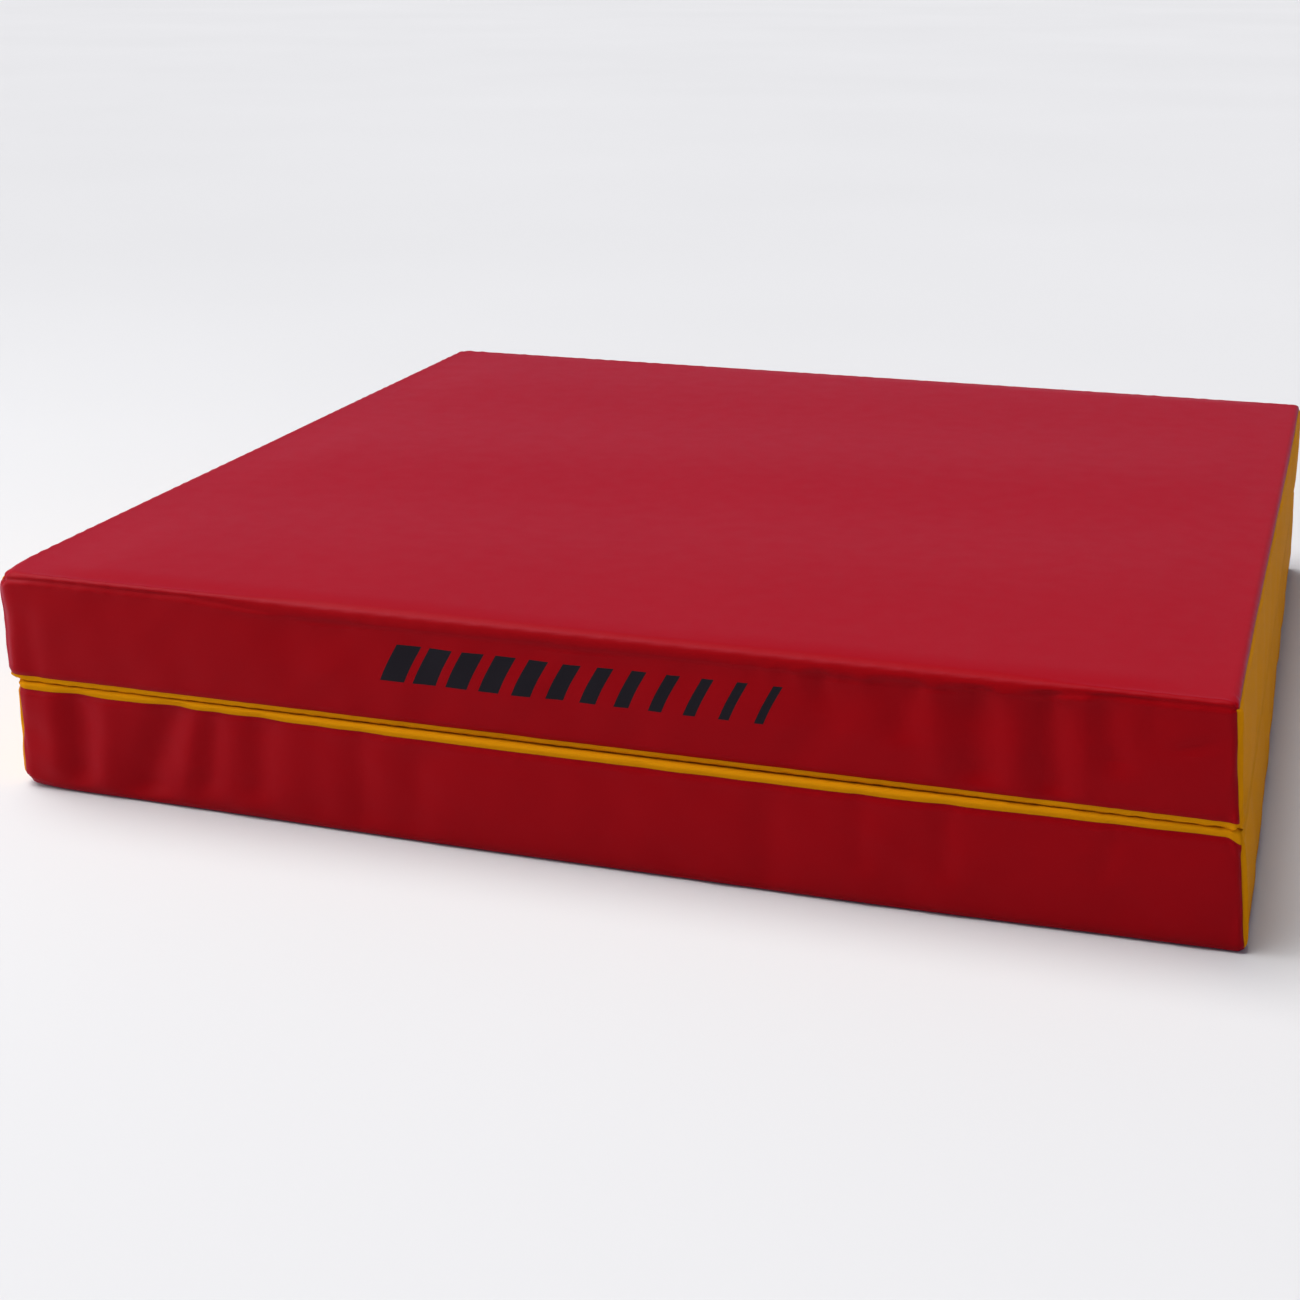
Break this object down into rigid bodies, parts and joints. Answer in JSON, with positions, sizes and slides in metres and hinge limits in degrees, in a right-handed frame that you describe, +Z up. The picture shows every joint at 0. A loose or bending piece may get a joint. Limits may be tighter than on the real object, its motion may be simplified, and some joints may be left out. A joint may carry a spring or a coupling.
{
  "type": "folding gymnastics mat",
  "caption": "Folding gymnastics mat: foam panels in red and yellow coated-fabric covers, joined along an edge by a shared hinge wall and folded shut, with zips at the back.",
  "frame": {"origin": "middle of the underside of the folded mat, on the surface it lies on", "axes": "+Z up through both panels; +X towards the hinge edge, -X the open end; +Y towards the zipped back walls, -Y the plain front walls"},
  "size_m": [1, 1.0068, 0.19],
  "materials": {
    "foam": "matte",
    "red_coated_fabric": "satin",
    "yellow_coated_fabric": "satin",
    "zip_tape": "matte",
    "zip_coil": "satin",
    "zip_metal": "satin"
  },
  "bodies": {
    "lower_panel": {"lower_foam_core": "foam", "lower_outer_sheet": "red_coated_fabric", "lower_inner_sheet": "yellow_coated_fabric", "lower_front_wall": "red_coated_fabric", "lower_open_end_wall": "yellow_coated_fabric", "lower_hinge_wall": "yellow_coated_fabric", "lower_back_wall_outer_strip": "red_coated_fabric", "lower_back_wall_inner_strip": "red_coated_fabric", "lower_zip_outer_tape": "zip_tape", "lower_zip_inner_tape": "zip_tape", "lower_zip_outer_coil": "zip_coil", "lower_zip_inner_coil": "zip_coil", "lower_zip_open_end_stop": "zip_metal", "lower_zip_hinge_end_stop": "zip_metal"},
    "upper_panel": {"upper_foam_core": "foam", "upper_outer_sheet": "red_coated_fabric", "upper_inner_sheet": "yellow_coated_fabric", "upper_front_wall": "red_coated_fabric", "upper_open_end_wall": "yellow_coated_fabric", "upper_hinge_wall": "yellow_coated_fabric", "upper_back_wall_outer_strip": "red_coated_fabric", "upper_back_wall_inner_strip": "red_coated_fabric", "upper_zip_outer_tape": "zip_tape", "upper_zip_inner_tape": "zip_tape", "upper_zip_outer_coil": "zip_coil", "upper_zip_inner_coil": "zip_coil", "upper_zip_open_end_stop": "zip_metal", "upper_zip_hinge_end_stop": "zip_metal"},
    "lower_zip_slider": {"lower_zip_slider": "zip_metal"},
    "lower_zip_pull": {"lower_zip_pull": "zip_metal"},
    "upper_zip_slider": {"upper_zip_slider": "zip_metal"},
    "upper_zip_pull": {"upper_zip_pull": "zip_metal"}
  },
  "joints": [
    {"name": "fold", "type": "hinge", "parent": "lower_panel", "child": "upper_panel", "pos_m": [0.5003, -0.00335, 0.095], "axis": [0, 1, 0], "range_deg": [0, 180]},
    {"name": "lower_zip_travel", "type": "slide", "parent": "lower_panel", "child": "lower_zip_slider", "axis": [1, 0, 0], "range_m": [0, 0.934]},
    {"name": "lower_zip_pull_flip", "type": "hinge", "parent": "lower_zip_slider", "child": "lower_zip_pull", "pos_m": [-0.4677, 0.50105, 0.0475], "axis": [0, 0, 1], "range_deg": [0, 180]},
    {"name": "upper_zip_travel", "type": "slide", "parent": "upper_panel", "child": "upper_zip_slider", "axis": [1, 0, 0], "range_m": [0, 0.934]},
    {"name": "upper_zip_pull_flip", "type": "hinge", "parent": "upper_zip_slider", "child": "upper_zip_pull", "pos_m": [-0.4677, 0.50105, 0.1425], "axis": [0, 0, 1], "range_deg": [0, 180]}
  ]
}
